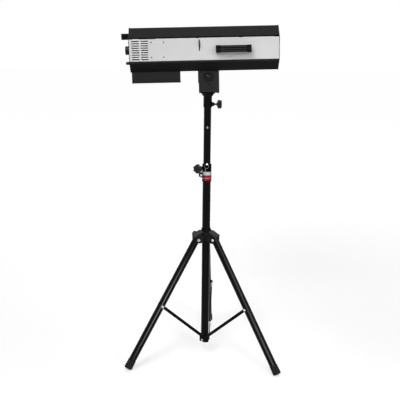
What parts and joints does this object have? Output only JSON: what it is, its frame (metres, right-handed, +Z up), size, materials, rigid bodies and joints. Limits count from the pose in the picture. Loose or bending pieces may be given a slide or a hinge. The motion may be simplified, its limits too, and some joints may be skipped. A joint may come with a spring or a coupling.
{
  "type": "follow spot on a tripod stand",
  "caption": "Follow spot with a long eight-sided case on a tilting saddle, carried by a telescopic mast on a folding tripod stand with flat strut bars.",
  "frame": {"origin": "on the floor, on the mast's axis", "axes": "+Z up along the mast, +X the way the lamp points with the nose level, -Y towards the side with the iris slot"},
  "size_m": [0.747, 0.6795, 1.6143],
  "materials": {
    "tube_paint": "glossy black paint on steel tube",
    "cast_black": "black painted die casting",
    "black_plastic": "moulded black plastic",
    "rubber": "moulded black rubber",
    "bright_zinc": "bright zinc plating",
    "black_steel": "fine black powder coat on sheet steel",
    "case_black": "black anodised extrusion",
    "panel_white": "white painted sheet",
    "end_plate": "black painted sheet",
    "aluminium": "bare",
    "led": "phosphor",
    "glass": "polished",
    "red_band": "printed band, white stripe above red",
    "red_switch": "glossy"
  },
  "bodies": {
    "column": {"lower_tube": "tube_paint", "collar": "cast_black", "collar_bands": "red_band", "bottom_fitting": "cast_black", "column_bolts": "bright_zinc", "pin_lanyard": "bright_zinc"},
    "crown": {"crown": "cast_black", "crown_covers": "black_plastic", "leg_pivot_bolts": "bright_zinc"},
    "crown_knob": {"crown_knob": "black_plastic"},
    "leg_1": {"leg_1": "tube_paint", "foot_1": "rubber"},
    "leg_2": {"leg_2": "tube_paint", "foot_2": "rubber"},
    "leg_3": {"leg_3": "tube_paint", "foot_3": "rubber"},
    "strut_1": {"strut_1": "tube_paint", "strut_bolt_1": "bright_zinc"},
    "strut_2": {"strut_2": "tube_paint", "strut_bolt_2": "bright_zinc"},
    "strut_3": {"strut_3": "tube_paint", "strut_bolt_3": "bright_zinc"},
    "upper_mast": {"upper_tube": "tube_paint"},
    "collar_knob": {"collar_knob": "black_plastic"},
    "lock_pin": {"lock_pin": "bright_zinc", "split_ring": "bright_zinc"},
    "adapter": {"stand_adapter": "cast_black"},
    "adapter_knob": {"adapter_knob": "black_plastic"},
    "lamp": {"saddle": "black_steel", "tilt_bolt": "black_steel", "top_profile": "case_black", "bottom_profile": "case_black", "side_panel_near": "panel_white", "side_panel_far": "panel_white", "front_plate": "end_plate", "rear_plate": "end_plate", "case_screws": "bright_zinc", "side_handles": "black_plastic", "rear_handle": "black_plastic", "driver_box": "black_steel", "led_driver": "aluminium", "heat_sink": "aluminium", "fan_frame": "black_plastic", "led_module": "led", "condenser_holder": "aluminium", "condenser_lens": "glass", "iris_housing": "black_steel", "lens_rails": "bright_zinc", "front_lens": "glass", "lens_ring": "black_plastic", "mains_inlet": "black_plastic", "fuse_holder": "black_plastic", "switch_frame": "black_plastic"},
    "tilt_knob": {"tilt_knob": "black_plastic"},
    "fan_rotor": {"fan_rotor": "black_plastic"},
    "iris_ring": {"iris_ring": "black_steel"},
    "lens_carriage": {"lens_carriage": "black_steel", "focus_lens": "glass"},
    "dimmer_knob": {"dimmer_knob": "black_plastic"},
    "power_switch": {"power_switch": "red_switch"}
  },
  "joints": [
    {"name": "crown_slide", "type": "slide", "parent": "column", "child": "crown", "axis": [0, 0, 1], "range_m": [0, 0.153]},
    {"name": "leg_1_fold", "type": "hinge", "parent": "crown", "child": "leg_1", "pos_m": [0.004, 0.05084, 0.609], "axis": [-0.9969, 0.0785, 0], "range_deg": [0, 31.02]},
    {"name": "leg_2_fold", "type": "hinge", "parent": "crown", "child": "leg_2", "pos_m": [-0.04603, -0.02196, 0.609], "axis": [0.4305, -0.9026, 0], "range_deg": [0, 31.02]},
    {"name": "leg_3_fold", "type": "hinge", "parent": "crown", "child": "leg_3", "pos_m": [0.04203, -0.02889, 0.609], "axis": [0.5664, 0.8241, 0], "range_deg": [0, 31.02]},
    {"name": "strut_1_fold", "type": "hinge", "parent": "column", "child": "strut_1", "pos_m": [0, 0, 0.082], "axis": [0.9969, -0.0785, 0], "range_deg": [0, 38.69]},
    {"name": "strut_2_fold", "type": "hinge", "parent": "column", "child": "strut_2", "pos_m": [0, 0, 0.082], "axis": [-0.4305, 0.9026, 0], "range_deg": [0, 38.69]},
    {"name": "strut_3_fold", "type": "hinge", "parent": "column", "child": "strut_3", "pos_m": [0, 0, 0.082], "axis": [-0.5664, -0.8241, 0], "range_deg": [0, 38.69]},
    {"name": "crown_knob_turn", "type": "hinge", "parent": "crown", "child": "crown_knob", "pos_m": [0, 0, 0.618], "axis": [-0.8241, 0.5664, 0], "range_deg": [0, 720]},
    {"name": "mast_slide", "type": "slide", "parent": "column", "child": "upper_mast", "axis": [0, 0, 1], "range_m": [0, 0.342]},
    {"name": "collar_knob_turn", "type": "hinge", "parent": "column", "child": "collar_knob", "pos_m": [0, 0, 0.958], "axis": [-0.7071, -0.7071, 0], "range_deg": [0, 720]},
    {"name": "lock_pin_pull", "type": "slide", "parent": "upper_mast", "child": "lock_pin", "axis": [0, -1, 0], "range_m": [0, 0.06]},
    {"name": "pan", "type": "hinge", "parent": "upper_mast", "child": "adapter", "pos_m": [0, 0, 1.265], "axis": [0, 0, 1], "continuous": true},
    {"name": "adapter_knob_turn", "type": "hinge", "parent": "adapter", "child": "adapter_knob", "pos_m": [0, 0, 1.2555], "axis": [1, 0, 0], "range_deg": [0, 720]},
    {"name": "tilt", "type": "hinge", "parent": "adapter", "child": "lamp", "pos_m": [0, 0, 1.383], "axis": [0, -1, 0], "range_deg": [-45, 45]},
    {"name": "tilt_knob_turn", "type": "hinge", "parent": "lamp", "child": "tilt_knob", "pos_m": [0, 0.05, 1.383], "axis": [0, 1, 0], "range_deg": [-360, 360]},
    {"name": "fan_spin", "type": "hinge", "parent": "lamp", "child": "fan_rotor", "pos_m": [-0.32362, 0, 1.49667], "axis": [0.9995, 0, 0.0305], "continuous": true},
    {"name": "iris_turn", "type": "hinge", "parent": "lamp", "child": "iris_ring", "pos_m": [-0.04675, 0, 1.50513], "axis": [0.9995, 0, 0.0305], "range_deg": [-5, 12]},
    {"name": "focus_slide", "type": "slide", "parent": "lamp", "child": "lens_carriage", "axis": [0.9995, 0, 0.0305], "range_m": [-0.06, 0.06]},
    {"name": "dimmer_turn", "type": "hinge", "parent": "lamp", "child": "dimmer_knob", "pos_m": [-0.35361, -0.068, 1.49575], "axis": [-0.9995, 0, -0.0305], "range_deg": [-135, 135]},
    {"name": "power_rocker", "type": "hinge", "parent": "lamp", "child": "power_switch", "pos_m": [-0.35208, 0.06, 1.44578], "axis": [0, -1, 0], "range_deg": [0, 17]}
  ],
  "couplings": [
    {"joint": "leg_1_fold", "follows": "crown_slide", "rad_per_m": 3.533},
    {"joint": "leg_2_fold", "follows": "crown_slide", "rad_per_m": 3.533},
    {"joint": "leg_3_fold", "follows": "crown_slide", "rad_per_m": 3.533},
    {"joint": "strut_1_fold", "follows": "crown_slide", "rad_per_m": 4.4082},
    {"joint": "strut_2_fold", "follows": "crown_slide", "rad_per_m": 4.4082},
    {"joint": "strut_3_fold", "follows": "crown_slide", "rad_per_m": 4.4082}
  ]
}
